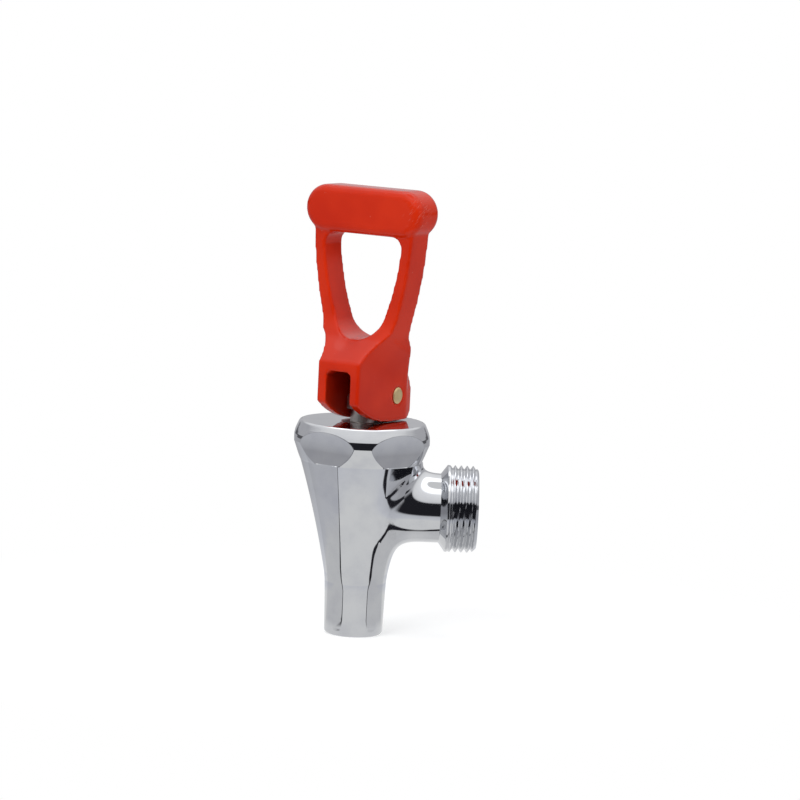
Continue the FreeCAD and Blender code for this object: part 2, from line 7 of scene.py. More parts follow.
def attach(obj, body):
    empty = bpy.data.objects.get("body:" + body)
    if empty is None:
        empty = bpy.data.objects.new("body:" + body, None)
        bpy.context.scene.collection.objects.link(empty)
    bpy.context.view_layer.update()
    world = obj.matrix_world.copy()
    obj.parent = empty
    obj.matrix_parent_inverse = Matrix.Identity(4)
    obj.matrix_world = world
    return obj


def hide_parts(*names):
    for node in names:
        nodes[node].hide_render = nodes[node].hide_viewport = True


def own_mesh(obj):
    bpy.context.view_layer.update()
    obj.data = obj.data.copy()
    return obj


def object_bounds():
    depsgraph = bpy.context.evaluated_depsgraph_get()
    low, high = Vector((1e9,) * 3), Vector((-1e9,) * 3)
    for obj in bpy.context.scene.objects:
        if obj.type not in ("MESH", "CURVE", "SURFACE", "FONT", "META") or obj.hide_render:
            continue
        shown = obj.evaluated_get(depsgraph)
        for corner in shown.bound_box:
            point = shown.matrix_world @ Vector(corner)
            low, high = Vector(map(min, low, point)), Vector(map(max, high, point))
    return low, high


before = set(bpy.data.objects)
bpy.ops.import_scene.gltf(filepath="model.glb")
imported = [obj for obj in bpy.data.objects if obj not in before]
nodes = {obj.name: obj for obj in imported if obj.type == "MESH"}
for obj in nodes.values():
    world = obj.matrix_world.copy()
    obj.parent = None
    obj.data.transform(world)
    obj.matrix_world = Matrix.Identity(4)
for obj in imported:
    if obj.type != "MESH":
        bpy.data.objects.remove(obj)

cad_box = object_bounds()


# ---- Camera -------------------------------------------------------------
# The photograph is a close product shot with a long lens, a little above the tap and
# almost square to its side. The tap leans by 2.7 degrees in it, so the camera is rolled.
swing = math.radians(55.0)
disc_centre = Vector((0.0, -0.0266, 0.0257))
azimuth, elevation, roll = map(math.radians, (88.3, 7.3, 2.7))
distance, focal_px = 1.165, 3839.0
disc_px = (362.6, 421.0)
towards = Vector((math.sin(azimuth) * math.cos(elevation), -math.cos(azimuth) * math.cos(elevation), math.sin(elevation)))
level = Vector((math.cos(azimuth), math.sin(azimuth), 0.0))
upright = towards.cross(level)
image_x = level * math.cos(roll) + upright * math.sin(roll)
image_y = upright * math.cos(roll) - level * math.sin(roll)
camera_data = bpy.data.cameras.new("studio_camera")
camera_data.sensor_width = 36.0
camera_data.lens = focal_px * 36.0 / 800.0
camera_data.clip_start, camera_data.clip_end = 0.05, 20.0
camera = bpy.data.objects.new("studio_camera", camera_data)
bpy.context.scene.collection.objects.link(camera)
place = (disc_centre - image_x * (disc_px[0] - 400.0) / focal_px * distance
         + image_y * (disc_px[1] - 400.0) / focal_px * distance + towards * distance)
turn = Matrix((image_x, image_y, towards)).transposed().to_4x4()
camera.matrix_world = Matrix.Translation(place) @ turn
bpy.context.scene.camera = camera


# ---- Floor, backdrop and light -------------------------------------------
# A pale floor under the nozzle, and a white room. Chrome shows what stands round it, so
# the room has its soft white panels and the dark gaps between them.
class Shader:
    """A material or a world under construction: makes nodes and wraps their sockets."""

    def __init__(self, tree):
        self.tree = tree
        self.tree.nodes.clear()

    def node(self, kind, settings=None, **values):
        """Adds a node of that type, its settings first and then the values or links of its sockets."""
        item = self.tree.nodes.new(kind)
        for name, value in (settings or {}).items():
            if name == "ramp":
                ends = item.color_ramp.elements
                while len(ends) > 1:
                    ends.remove(ends[-1])
                ends[0].position, ends[0].color = value[0]
                for position, colour in value[1:]:
                    ends.new(position).color = colour
            else:
                setattr(item, name, value)
        for name, value in values.items():
            key = int(name[1:]) if name[0] == "i" and name[1:].isdigit() else name.replace("_", " ")
            socket = item.inputs[key]
            if isinstance(value, Value):
                self.tree.links.new(value.socket, socket)
            else:
                socket.default_value = value
        return item

    def value(self, kind, settings=None, output=0, **values):
        return Value(self, self.node(kind, settings, **values).outputs[output])

    def maths(self, operation, *values):
        return self.value("ShaderNodeMath", {"operation": operation},
                          **{"i%d" % i: v for i, v in enumerate(values)})

    def vectors(self, operation, *values, output=0):
        return self.value("ShaderNodeVectorMath", {"operation": operation}, output,
                          **{"i%d" % i: v for i, v in enumerate(values)})

    def mix(self, factor, a, b):
        return self.value("ShaderNodeMix", {"data_type": "RGBA"}, 2, i0=factor, i6=a, i7=b)


class Value:
    """One output socket, with the arithmetic that is used on it."""

    def __init__(self, shader, socket):
        self.shader, self.socket = shader, socket

    def __add__(self, other):
        return self.shader.maths("ADD", self, other)

    def __radd__(self, other):
        return self.shader.maths("ADD", other, self)

    def __sub__(self, other):
        return self.shader.maths("SUBTRACT", self, other)

    def __rsub__(self, other):
        return self.shader.maths("SUBTRACT", other, self)

    def __mul__(self, other):
        return self.shader.maths("MULTIPLY", self, other)

    def __rmul__(self, other):
        return self.shader.maths("MULTIPLY", other, self)

    def either(self, other):
        """The larger of two masks."""
        return self.shader.maths("MAXIMUM", self, other)

    def clamped(self, low, high, start=0.0, end=1.0):
        """Maps low to high on to start to end, held at both ends, with a soft shoulder."""
        return self.shader.value("ShaderNodeMapRange", {"interpolation_type": "SMOOTHSTEP"},
                                 i0=self, i1=low, i2=high, i3=start, i4=end)


def finish_of(name):
    """A new material, and the shader that builds it."""
    finish = bpy.data.materials.new(name)
    finish.use_nodes = True
    return finish, Shader(finish.node_tree)


def bearing_of(shader, way):
    """Degrees round the tap, from the camera's side towards the picture's right, of a place or a direction."""
    ahead = shader.vectors("DOT_PRODUCT", way, (towards.x, towards.y, 0.0), output=1)
    aside = shader.vectors("DOT_PRODUCT", way, (level.x, level.y, 0.0), output=1)
    return shader.maths("ARCTAN2", aside, ahead) * (180.0 / math.pi)


def camera_and_mirror(shader):
    """Two masks: rays straight from the camera, and rays that a mirror or glass sends on."""
    path = shader.node("ShaderNodeLightPath")
    sent_on = Value(shader, path.outputs["Is Glossy Ray"]).either(Value(shader, path.outputs["Is Transmission Ray"]))
    return Value(shader, path.outputs["Is Camera Ray"]), sent_on


def between(value, low, high, soft):
    """1 from low to high, falling to 0 over the soft width outside them."""
    return value.clamped(low - soft, low) * value.clamped(high, high + soft, 1.0, 0.0)


scene = bpy.context.scene
scene.view_settings.view_transform = "Standard"
pure_white, gap_black = (1.0, 1.0, 1.0, 1.0), (0.02, 0.02, 0.025, 1.0)

floor_z, floor_reach = cad_box[0].z, 3.0
floor_data = bpy.data.meshes.new("floor")
floor_data.from_pydata([(x * floor_reach, y * floor_reach, floor_z) for x, y in ((-1, -1), (1, -1), (1, 1), (-1, 1))],
                       [], [(0, 1, 2, 3)])
floor = bpy.data.objects.new("floor", floor_data)
scene.collection.objects.link(floor)

# The floor in a mirror is a painted glow, not lit paint: bright under the tap and greying with distance as painted
# light
# # falloff, greyer to the sides, a dark gap beyond it on the camera's side, and a thin dark stand to each side of the
# camera.
floor_finish, paint = finish_of("white_floor")
seen, mirrored = camera_and_mirror(paint)
from_foot = paint.vectors("SUBTRACT", paint.value("ShaderNodeTexCoord", output=3), (0.0, disc_centre.y, floor_z))
away = paint.vectors("LENGTH", from_foot, output=1)
bearing = bearing_of(paint, from_foot)
past_floor_glow = away.clamped(0.105, 0.135) * between(bearing, -40.0, 40.0, 10.0)
stands = between(bearing, 50.0, 56.0, 2.0).either(between(bearing, -56.0, -50.0, 2.0)) * away.clamped(0.02, 0.03)
beside = between(bearing, 59.0, 120.0, 3.0).either(between(bearing, -120.0, -57.0, 3.0)) * away.clamped(0.015, 0.03)
# Painted light for mirror rays only: the floor's glow is brightest near the foot and greys with distance.
floor_glow_for_mirrors = paint.value("ShaderNodeValToRGB", {"ramp": [
    (0.0, (0.88, 0.88, 0.88, 1.0)), (0.20, (0.92, 0.92, 0.91, 1.0)), (0.235, (0.80, 0.81, 0.85, 1.0)),
    (0.36, (0.66, 0.67, 0.70, 1.0)), (0.62, (0.48, 0.48, 0.50, 1.0)), (1.0, (0.50, 0.50, 0.52, 1.0))]},
    Fac=away * floor_reach)
floor_glow_for_mirrors = paint.mix(beside * 0.35, floor_glow_for_mirrors, (0.45, 0.45, 0.47, 1.0))
floor_glow_for_mirrors = paint.mix(past_floor_glow.either(stands), floor_glow_for_mirrors, gap_black)
matt = paint.value("ShaderNodeBsdfDiffuse", Color=(0.80, 0.80, 0.80, 1.0))
glow = paint.value("ShaderNodeEmission", Color=pure_white, Strength=0.50)
blank = paint.value("ShaderNodeEmission", Color=pure_white, Strength=1.0)
near_foot = paint.value("ShaderNodeAddShader", i0=matt, i1=glow)
lit = paint.value("ShaderNodeMixShader", i0=away.clamped(0.05, 0.16), i1=near_foot, i2=blank)
unmirrored = paint.value("ShaderNodeMixShader", i0=seen, i1=matt, i2=lit)
reflection = paint.value("ShaderNodeEmission", Color=floor_glow_for_mirrors, Strength=1.0)
paint.node("ShaderNodeOutputMaterial",
           Surface=paint.value("ShaderNodeMixShader", i0=mirrored, i1=unmirrored, i2=reflection))
floor_data.materials.append(floor_finish)

# The room in a mirror: grey walls under a white ceiling with a brighter lamp ring, the dark
# studio behind the camera, and the same stands. The camera itself sees plain white.
world = bpy.data.worlds.new("studio")
scene.world = world
world.use_nodes = True
air = Shader(world.node_tree)
seen, mirrored = camera_and_mirror(air)
direction = air.value("ShaderNodeTexCoord", output=0)
up = air.vectors("DOT_PRODUCT", direction, (0.0, 0.0, 1.0), output=1)
bearing = bearing_of(air, direction)
studio_dark = between(up, -0.5, 0.36, 0.06) * between(bearing, -45.0, 45.0, 14.0)
beside = between(bearing, 92.0, 150.0, 8.0).either(between(bearing, -150.0, -92.0, 8.0))
side_dark = between(up, -0.20, 0.06, 0.05) * beside * 0.8
stands = between(bearing, 59.0, 65.0, 2.0).either(between(bearing, -61.0, -56.0, 2.0)) * up.clamped(0.1, 0.3, 1.0, 0.0)
walls = air.value("ShaderNodeValToRGB", {"ramp": [
    (0.0, (0.80, 0.80, 0.82, 1.0)), (0.28, (0.86, 0.87, 0.90, 1.0)), (0.36, (0.52, 0.52, 0.54, 1.0)),
    (0.5, (0.54, 0.54, 0.56, 1.0)), (0.66, (0.58, 0.58, 0.60, 1.0)), (0.74, (1.0, 1.0, 1.0, 1.0)),
    (0.90, (1.2, 1.2, 1.2, 1.0)), (0.94, (2.6, 2.6, 2.6, 1.0)), (0.975, (2.6, 2.6, 2.6, 1.0)),
    (0.985, (0.9, 0.9, 0.9, 1.0)), (1.0, (0.9, 0.9, 0.9, 1.0))]}, Fac=up * 0.5 + 0.5)
room = air.mix(studio_dark.either(side_dark.either(stands)), walls, gap_black)
ambient = air.value("ShaderNodeBackground", Color=(0.96, 0.98, 1.0, 1.0), Strength=0.40)
reflected = air.value("ShaderNodeBackground", Color=room, Strength=1.0)
white = air.value("ShaderNodeBackground", Color=pure_white, Strength=1.0)
unseen = air.value("ShaderNodeMixShader", i0=mirrored, i1=ambient, i2=reflected)
air.node("ShaderNodeOutputWorld", Surface=air.value("ShaderNodeMixShader", i0=seen, i1=unseen, i2=white))


def panel(name, place, size, power, aim=(0.0, -0.0266, 0.03)):
    """A soft square studio light, aimed at the tap."""
    data = bpy.data.lights.new(name, "AREA")
    data.shape, data.size, data.energy = "SQUARE", size, power
    lamp = bpy.data.objects.new(name, data)
    scene.collection.objects.link(lamp)
    lamp.location = place
    lamp.rotation_mode = "QUATERNION"
    lamp.rotation_quaternion = (Vector(aim) - Vector(place)).to_track_quat("-Z", "Y")
    lamp.visible_glossy = False


panel("key_light", (1.2, -0.9, 1.3), 1.0, 12.0)
panel("fill_light", (1.3, 0.9, 0.7), 0.9, 5.0)
panel("top_light", (0.0, -0.05, 1.4), 0.9, 4.0)


# ---- Tap body --------------------------------------------------------------
# A brass casting, turned and ground, then chrome plated: a flank with five flats that
# tapers hollow to a round nozzle, and a side neck that ends in the threaded inlet tail.
def plated(name):
    """Polished plate: a mirror with a faint ripple of polishing and a thin haze of dust."""
    finish, coat = finish_of(name)
    spot = coat.value("ShaderNodeTexCoord", output=3)
    haze = coat.value("ShaderNodeTexNoise", Vector=spot, Scale=160.0, Detail=3.0)
    ripple = coat.value("ShaderNodeTexNoise", Vector=spot, Scale=45.0, Detail=1.0)
    relief = coat.value("ShaderNodeBump", Height=ripple, Strength=0.02, Distance=0.001)
    tint = coat.mix(haze.clamped(0.35, 0.75), (0.58, 0.59, 0.61, 1.0), (0.53, 0.54, 0.57, 1.0))
    surface = coat.value("ShaderNodeBsdfPrincipled", Base_Color=tint, Metallic=1.0,
                         Roughness=haze.clamped(0.3, 0.8, 0.045, 0.085), Normal=relief)
    coat.node("ShaderNodeOutputMaterial", Surface=surface)
    return finish


chrome = plated("polished_chrome")
disc_z, axis_y = disc_centre.z * 1000.0, disc_centre.y * 1000.0
shoulder_depth, waist_depth, root_depth, body_depth = 12.0, 46.4, 49.0, 65.3
shoulder_radius, waist_radius, root_radius, nozzle_radius = 18.4, 9.7, 9.4, 8.85
flank_hollow, end_rounding, edge_rounding = 2.2, 1.1, 0.10
neck_radius, tail_radius, bore_radius = 10.5, 13.22, 7.0
neck_fillet, neck_fade, flat_clearance, flat_run_out = 9.0, 9.0, 1.5, 3.0
taper_share = 0.97
flats, first_flat = 5, math.radians(36.3)
sector = 2.0 * math.pi / flats


def soft_least(a, b, width):
    """The smaller of two fields, rounded by a cubic where they differ by less than the width."""
    blend = np.maximum(width - np.abs(a - b), 0.0) / width
    return np.minimum(a, b) - blend ** 3 * width / 6.0


def off_flat(turn):
    """The angle from the middle of the nearest flat, for a turn about the tap's axis."""
    return (turn - first_flat + sector / 2.0) % sector - sector / 2.0


def hand_ground(turn, depth):
    """How far a flank flat sits off its even place: the two in front were ground 7 and 3.3 degrees wide of it,
    and the petals below the waist were not."""
    place = (np.degrees(turn) + 180.0) % 360.0 - 180.0
    wide = np.interp(place, [-100.0, -60.0, -15.0, 15.0, 60.0, 100.0],
                     [0.0, -3.3, -3.3, 7.0, 7.0, 0.0])
    return np.radians(wide) * np.interp(depth, [44.0, 50.0], [1.0, 0.0])


def flank_radius(depth):
    """Turned radius at a depth: a hollow arc from shoulder to waist, then a slim cone with a rounded end."""
    share = np.clip((depth - shoulder_depth) / (waist_depth - shoulder_depth), 0.0, 1.0)
    arc = shoulder_radius + (waist_radius - shoulder_radius) * share - flank_hollow * share * (1.0 - share)
    slim = np.interp(depth, [waist_depth, root_depth, body_depth], [waist_radius, root_radius, nozzle_radius])
    return np.where(depth < waist_depth, arc, slim)


def flat_half_angle(depth):
    """Half the angle of a ground flat: wide at the shoulder, narrow at the waist, a petal on the nozzle."""
    return np.radians(np.interp(depth, [12.6, 24.0, 36.0, 44.0, 47.0, 51.0, 60.0, 63.0, 64.8, 65.3],
                                [15.4, 13.6, 11.0, 8.0, 7.6, 12.0, 12.4, 10.0, 3.0, 1.0]))


def neck_field(x, y, z):
    """Distance outside the neck's cylinder, which fades away towards the tap's own axis."""
    back = np.clip((axis_y + neck_fade - y) / neck_fade, 0.0, None)
    return np.hypot(x, z) - neck_radius + neck_fade * back ** 2


def flank_field(x, y, z):
    """Roughly the distance outside the flank: the turned form, cut by its flats where the neck leaves them room."""
    depth = disc_z - z
    across, turn = np.hypot(x, y - axis_y), np.arctan2(y - axis_y, x)
    turned = flank_radius(depth)
    room = np.clip((neck_field(x, y, z) - flat_clearance) / flat_run_out, 0.0, 1.0)
    left = (1.0 - room * room * (3.0 - 2.0 * room)) * flat_clearance
    flat_distance = turned * np.cos(flat_half_angle(depth))
    ground = flat_distance / np.cos(off_flat(turn - hand_ground(turn, depth))) + left
    past = np.clip(depth - (body_depth - end_rounding), 0.0, end_rounding)
    radius = soft_least(turned, ground, edge_rounding) - (end_rounding - np.sqrt(end_rounding ** 2 - past ** 2))
    return (across - radius) * taper_share


def casting_field(x, y, z):
    """The flank and the neck, joined by a broad fillet."""
    return soft_least(flank_field(x, y, z), neck_field(x, y, z), neck_fillet)


def settle(points, field, rounds=6):
    """Moves points along the field's slope until they lie where it is 0."""
    step = 0.01
    for _ in range(rounds):
        x, y, z = points
        here = field(x, y, z)
        slope = np.stack([field(x + step, y, z) - field(x - step, y, z),
                          field(x, y + step, z) - field(x, y - step, z),
                          field(x, y, z + step) - field(x, y, z - step)]) / (2.0 * step)
        points = points - slope * here / np.maximum((slope ** 2).sum(axis=0), 0.2)
    return points


def skin(name, points, material):
    """A closed mesh from a grid of points in mm (3 x rows x columns) that wraps round both ways."""
    rows, columns = points.shape[1:]
    number = np.arange(rows * columns).reshape(rows, columns)
    down, along = np.roll(number, -1, axis=0), np.roll(number, -1, axis=1)
    both = np.roll(down, -1, axis=1)
    quads = np.stack([number, down, both, along], axis=-1).reshape(-1, 4)
    data = bpy.data.meshes.new(name)
    data.vertices.add(rows * columns)
    data.vertices.foreach_set("co", (points.reshape(3, -1).T / 1000.0).astype(np.float32).ravel())
    data.loops.add(quads.size)
    data.loops.foreach_set("vertex_index", quads.astype(np.int32).ravel())
    data.polygons.add(len(quads))
    data.polygons.foreach_set("loop_start", np.arange(0, quads.size, 4, dtype=np.int32))
    data.update(calc_edges=True)
    data.validate()
    data.polygons.foreach_set("use_smooth", np.ones(len(quads), dtype=bool))
    data.materials.append(material)
    item = bpy.data.objects.new(name, data)
    scene.collection.objects.link(item)
    return item


def crease(item, degrees):
    """Marks as sharp the edges that bend by more than this."""
    with bpy.context.temp_override(active_object=item, object=item, selected_editable_objects=[item]):
        bpy.ops.object.shade_smooth_by_angle(angle=math.radians(degrees))


def flat_columns(half_angle):
    """Turns round the axis, closer together at each flat's two edges, for one row or many."""
    near = np.concatenate([np.linspace(0.0, 0.80, 7)[:-1], np.linspace(0.80, 1.0, 9)])
    beyond = np.concatenate([np.linspace(0.0, 0.14, 9)[1:], np.linspace(0.14, 1.0, 7)[1:]])
    half_angle = np.atleast_1d(half_angle)[:, None]
    inner, outer = near * half_angle, half_angle + beyond * (sector / 2.0 - half_angle)
    one_side = np.concatenate([inner, outer], axis=1)
    whole = np.concatenate([-one_side[:, :0:-1], one_side[:, :-1]], axis=1)
    return np.concatenate([first_flat + sector * k + whole for k in range(flats)], axis=1)


end_share = np.sin(np.linspace(0.05, math.pi / 2.0, 9))
outer_depths = np.concatenate([np.linspace(shoulder_depth, 46.0, 130), np.linspace(46.2, 50.0, 16)[:-1],
                               np.linspace(50.0, 64.0, 50), body_depth - end_rounding * (1.0 - end_share)])
turns = flat_columns(flat_half_angle(outer_depths))
turns = turns + hand_ground(turns, outer_depths[:, None])


def turned_grid(radii, depths, turns):
    """Points round the tap's axis from radii and depths in mm and turns, each a row, a column or a grid."""
    radii, depths, turns = np.broadcast_arrays(radii, depths, turns)
    return np.stack([radii * np.cos(turns), axis_y + radii * np.sin(turns), disc_z - depths])


def along_radius(points, field, rounds=8):
    """Moves points straight out from the tap's axis until the field is 0."""
    x, y, z = points
    out_x, out_y = x / np.hypot(x, y - axis_y), (y - axis_y) / np.hypot(x, y - axis_y)
    for _ in range(rounds):
        gap = field(x, y, z)
        x, y = x - out_x * gap, y - out_y * gap
    return np.stack([x, y, z])


outside = turned_grid(flank_radius(outer_depths)[:, None], outer_depths[:, None], turns)
flank = along_radius(outside, flank_field)
hidden_depth = 1.2
beside_neck = neck_field(*flank) > -hidden_depth
outside = np.where(beside_neck, settle(flank, casting_field), flank)
inside_profile = np.array([(6.0, 65.3), (6.0, 52.0), (6.0, 37.0), (6.75, 37.0), (7.5, 38.6), (8.7, 38.6),
                           (13.0, 22.0), (13.0, 5.2), (15.5, 5.2), (15.5, 11.95)])
inside = turned_grid(inside_profile[:, :1], inside_profile[:, 1:], turns[-1])
tap_body = skin("tap_body_casting", np.concatenate([outside, inside], axis=1), chrome)


def bored(item, start, end, radius):
    """Cuts a round hole along +Y through the item, between two places in mm."""
    around = np.linspace(0.0, 2.0 * math.pi, 96, endpoint=False)
    ring = np.arange(len(around))
    rim = np.stack([radius * np.cos(around), np.zeros_like(around), radius * np.sin(around)], axis=1)
    corners = np.concatenate([rim + (0.0, start, 0.0), rim + (0.0, end, 0.0)]) / 1000.0
    sides = np.stack([ring, ring + len(ring), np.roll(ring, -1) + len(ring), np.roll(ring, -1)], axis=1)
    data = bpy.data.meshes.new("drill")
    data.from_pydata(corners.tolist(), [], sides.tolist() + [ring.tolist(), (ring[::-1] + len(ring)).tolist()])
    data.materials.append(chrome)
    drill = bpy.data.objects.new("drill", data)
    scene.collection.objects.link(drill)
    hole = item.modifiers.new("hole", "BOOLEAN")
    hole.operation, hole.solver, hole.object = "DIFFERENCE", "EXACT", drill
    bpy.context.view_layer.update()
    cut = bpy.data.meshes.new_from_object(item.evaluated_get(bpy.context.evaluated_depsgraph_get()))
    item.modifiers.clear()
    item.data = cut
    bpy.data.objects.remove(drill)


bored(tap_body, -18.5, -7.5, bore_radius)

thread_pitch, thread_depth, thread_end = 1.814, 1.05, 9.4
around = np.linspace(0.0, 2.0 * math.pi, 192, endpoint=False)


def wall_place(radius):
    """How far along Y the flank's turned wall lies over a circle round the neck's axis."""
    depth = disc_z - radius * np.sin(around)
    return axis_y + np.sqrt(flank_radius(depth) ** 2 - (radius * np.cos(around)) ** 2)


def thread_radius(along):
    """Tail radius: a bevel, then a thread whose ridge climbs one pitch a turn, inside the end's chamfer."""
    ridge = np.abs(((along / thread_pitch - around / (2.0 * math.pi)) % 1.0) * 2.0 - 1.0)
    crest = np.clip((ridge - 0.10) / 0.80, 0.0, 1.0)
    run_in = np.clip((along - 0.5) / 1.2, 0.0, 1.0)
    cut = tail_radius - thread_depth * (1.0 - crest) * run_in
    bevel = np.interp(along, [-2.0, 0.0], [neck_radius, tail_radius])
    chamfer = tail_radius - np.clip(along - (thread_end - 1.3), 0.0, 1.3)
    return np.minimum(np.minimum(cut, bevel), chamfer)


def neck_grid(radii, places):
    """Points round the neck's axis from radii and places along it, each a number, a row, a column or a grid."""
    radii, places, turns = np.broadcast_arrays(radii, places, around)
    return np.stack([radii * np.cos(turns), places, radii * np.sin(turns)])


root_inset = 1.8
start = wall_place(neck_radius) - root_inset
neck = neck_grid(neck_radius, start + (-2.0 - start) * np.linspace(0.0, 1.0, 60)[:, None])
outside_wall = flank_field(*neck) > -hidden_depth
neck = np.where(outside_wall, settle(neck, casting_field), neck)
tail_rows = np.linspace(-1.9, thread_end, 130)[:, None] * np.ones_like(around)
tail = neck_grid(thread_radius(tail_rows), tail_rows)
bore_profile = np.array([(bore_radius + 0.5, thread_end), (bore_radius, thread_end - 0.5), (bore_radius, 0.0)])
bore = neck_grid(bore_profile[:, :1], bore_profile[:, 1:])
mouth = neck_grid(bore_radius, wall_place(bore_radius) - root_inset)[:, None, :]
inlet_tail = skin("inlet_tail", np.concatenate([neck, tail, bore, mouth], axis=1), chrome)
with bpy.context.temp_override(active_object=tap_body, object=tap_body, selected_objects=[tap_body, inlet_tail],
                               selected_editable_objects=[tap_body, inlet_tail]):
    bpy.ops.object.join()
crease(tap_body, 32.0)
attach(tap_body, "housing")
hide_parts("tap_body")


# ---- Bonnet ------------------------------------------------------------------
# A chromed cap nut: a flat polished disc, a rolled edge, five ground flats that thin out
# into lens shapes, and a foot chamfer that sits on the body's shoulder.
crown = np.array([(18.7, 0.0), (19.0, 0.12), (19.25, 0.45), (19.5, 1.0), (19.93, 2.0), (20.32, 3.0),
                  (20.66, 4.0), (20.84, 5.0), (20.92, 6.1)])
depths = np.concatenate([np.linspace(0.0, 1.3, 16)[:-1], np.linspace(1.3, 2.4, 30)[:-1], np.linspace(2.4, 6.1, 34)])
rolled = np.stack([np.interp(depths, crown[:, 1], crown[:, 0]), depths], axis=1)
rolled[1:-1, 0] = (rolled[:-2, 0] + rolled[1:-1, 0] * 2.0 + rolled[2:, 0]) / 4.0
depths = np.linspace(6.25, 11.8, 24)
foot = np.interp(depths, [6.1, 7.2, 8.5, 10.0, 11.8], [20.92, 20.45, 19.9, 19.3, 18.55])
foot = np.stack([foot, depths], axis=1)
under = np.array([(18.45, 12.0), (15.5, 12.0), (15.5, 4.0), (6.5, 4.0), (6.5, 0.0), (12.0, 0.0), (18.5, 0.0)])
bonnet_profile = np.concatenate([rolled, foot, under])
profile_radius, profile_depth = bonnet_profile[:, :1], bonnet_profile[:, 1:]
outer_rows = len(rolled) + len(foot)
flat_distance = 17.95 + 2.05 * (np.maximum(9.5 - profile_depth, 0.0) / 7.9) ** 2
lens_half_angle = np.arccos(np.clip(flat_distance / profile_radius, 0.0, 0.99995))[:, 0]
lens_half_angle[outer_rows:] = lens_half_angle[outer_rows - 1]
turns = flat_columns(lens_half_angle)
round_form = profile_radius * np.ones_like(turns)
cut_form = soft_least(round_form, flat_distance / np.cos(off_flat(turns)), edge_rounding)
reach = np.where(np.arange(len(bonnet_profile))[:, None] < outer_rows, cut_form, round_form)
bonnet = skin("bonnet_nut", turned_grid(reach, profile_depth, turns), chrome)
crease(bonnet, 20.0)
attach(bonnet, "housing")
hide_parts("bonnet")


# ---- Lever ---------------------------------------------------------------
# One glossy red moulding of heat-resistant plastic: a loop grip on a forked cam foot. Its
# edges are softly rounded, and the thick web above the fork has sunk a little in the mould.
worn_corner = (0.0150, -0.0125, 0.0905)


def moulded_red(name):
    """Glossy plastic: slightly clouded colour, tiny specks, scratches at the bar's worn corner, and painted shade
    that darkens the slot between the cheeks, where little light gets in."""
    finish, coat = finish_of(name)
    spot = coat.value("ShaderNodeTexCoord", output=3)
    cloud = coat.value("ShaderNodeTexNoise", Vector=spot, Scale=60.0, Detail=2.0)
    specks = coat.value("ShaderNodeTexVoronoi", Vector=spot, Scale=420.0).clamped(0.05, 0.13, 1.0, 0.0)
    specks = specks * coat.value("ShaderNodeTexNoise", Vector=spot, Scale=230.0, Detail=1.0).clamped(0.56, 0.64)
    slanted = coat.value("ShaderNodeVectorRotate", {"rotation_type": "X_AXIS"}, Vector=spot, Angle=0.7)
    stretched = coat.vectors("MULTIPLY", slanted, (900.0, 4200.0, 260.0))
    hairs = coat.value("ShaderNodeTexNoise", Vector=stretched, Scale=1.0, Detail=1.0).clamped(0.60, 0.66)
    worn = coat.vectors("DISTANCE", spot, worn_corner, output=1).clamped(0.0015, 0.0065, 1.0, 0.0)
    marks = (hairs * worn).either(specks * 0.5)
    tint = coat.mix(cloud.clamped(0.3, 0.7), (0.64, 0.022, 0.003, 1.0), (0.74, 0.032, 0.005, 1.0))
    tint = coat.mix(marks * 0.35, tint, (0.80, 0.30, 0.24, 1.0))
    from_axis = coat.vectors("SUBTRACT", spot, (0.0, disc_centre.y, 0.0))
    across = coat.vectors("DOT_PRODUCT", from_axis, (math.cos(swing), math.sin(swing), 0.0), output=1)
    through = coat.vectors("DOT_PRODUCT", from_axis, (-math.sin(swing), math.cos(swing), 0.0), output=1)
    height = coat.vectors("DOT_PRODUCT", spot, (0.0, 0.0, 1.0), output=1)
    # Painted shade: the base colour is darkened towards a deep red inside the slot between the cheeks, where little
    # light reaches.
    slot_painted_shade = coat.maths("ABSOLUTE", across).clamped(0.0041, 0.0046, 1.0, 0.0)
    slot_painted_shade = slot_painted_shade * height.clamped(0.0405, 0.0415, 1.0, 0.0) * through.clamped(0.004, 0.006, 1.0, 0.0)
    tint = coat.mix(slot_painted_shade * 0.7, tint, (0.16, 0.004, 0.001, 1.0))
    relief = coat.value("ShaderNodeBump", Height=cloud * 0.6 - marks * 0.4, Strength=0.10, Distance=0.0005)
    surface = coat.value("ShaderNodeBsdfPrincipled", Base_Color=tint, Specular_IOR_Level=0.20,
                         Roughness=cloud.clamped(0.3, 0.8, 0.09, 0.15) + marks * 0.3, Normal=relief)
    coat.node("ShaderNodeOutputMaterial", Surface=surface)
    return finish


def merged(node, name, finish, net_size=0.0, passes=0):
    """A copy of a CAD node with its loose triangles merged. With a net size, it is wrapped in an even
    net and relaxed in that many passes, so that its edges turn round."""
    item = bpy.data.objects.new(name, nodes[node].data.copy())
    scene.collection.objects.link(item)
    weld = item.modifiers.new("weld", "WELD")
    weld.merge_threshold = 0.000002
    if net_size:
        net = item.modifiers.new("net", "REMESH")
        net.mode, net.voxel_size = "VOXEL", net_size
        relax = item.modifiers.new("relax", "SMOOTH")
        relax.factor, relax.iterations = 0.5, passes
    bpy.context.view_layer.update()
    made = bpy.data.meshes.new_from_object(item.evaluated_get(bpy.context.evaluated_depsgraph_get()))
    item.modifiers.clear()
    item.data = made
    made.materials.clear()
    made.materials.append(finish)
    return item


